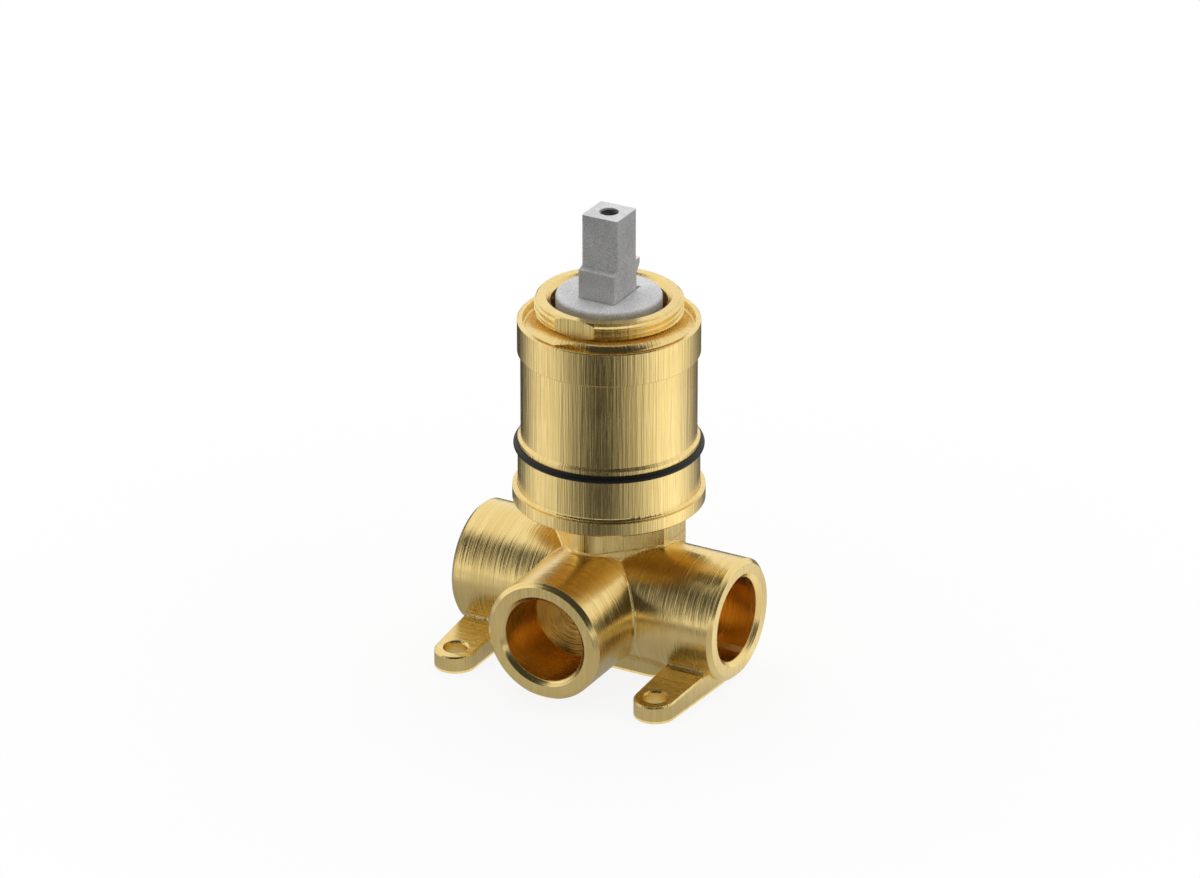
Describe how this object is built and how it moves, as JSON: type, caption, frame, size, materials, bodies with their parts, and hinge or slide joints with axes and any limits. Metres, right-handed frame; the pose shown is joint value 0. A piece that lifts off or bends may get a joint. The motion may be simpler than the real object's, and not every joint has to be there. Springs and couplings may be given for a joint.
{
  "type": "concealed mixer valve body",
  "caption": "Concealed shower mixer valve body in brass with pipe sockets, fixing lugs, sealed barrel, turned nut and a single lever cartridge.",
  "frame": {"origin": "on the cartridge axis, at the plane of the foot and lugs", "axes": "+Z along the cartridge axis towards the lever, +X along the cold inlet, -Y along the outlet"},
  "size_m": [0.076, 0.0599, 0.1214],
  "materials": {
    "brass": "satin brushed",
    "rubber": "smooth",
    "lever_metal": "fine grained matt",
    "cartridge_plastic": "moulded",
    "head_plastic": "fine grained matt",
    "limit_plastic": "moulded",
    "ceramic": "lapped",
    "steel": "ground"
  },
  "bodies": {
    "casting": {"valve_body": "brass", "barrel_oring": "rubber", "cartridge_nut": "brass", "nut_thrust_ring": "cartridge_plastic", "cartridge_housing": "cartridge_plastic", "housing_oring": "rubber", "cartridge_base": "cartridge_plastic", "base_seal_cold": "rubber", "base_seal_hot": "rubber", "base_seal_outlet": "rubber", "disc_gasket": "rubber", "fixed_disc": "ceramic", "head_bearing_ring": "cartridge_plastic", "hot_limit_ring": "limit_plastic"},
    "head": {"control_head": "head_plastic", "head_oring": "rubber", "lever_pin": "steel"},
    "disc_slide": {"moving_disc": "ceramic", "carrier_oring": "rubber", "disc_carrier": "cartridge_plastic"},
    "lever": {"lever": "lever_metal"}
  },
  "joints": [
    {"name": "head_turn", "type": "hinge", "parent": "casting", "child": "head", "pos_m": [0, 0, 0.09636], "axis": [0, 0, 1], "range_deg": [-50, 50]},
    {"name": "lever_tilt", "type": "hinge", "parent": "head", "child": "lever", "pos_m": [0, 0, 0.09636], "axis": [-1, 0, 0], "range_deg": [0, 25]},
    {"name": "disc_travel", "type": "slide", "parent": "head", "child": "disc_slide", "axis": [0, -1, 0], "range_m": [0, 0.0043]}
  ],
  "couplings": [
    {"joint": "disc_travel", "follows": "lever_tilt", "m_per_rad": 0.00985}
  ]
}
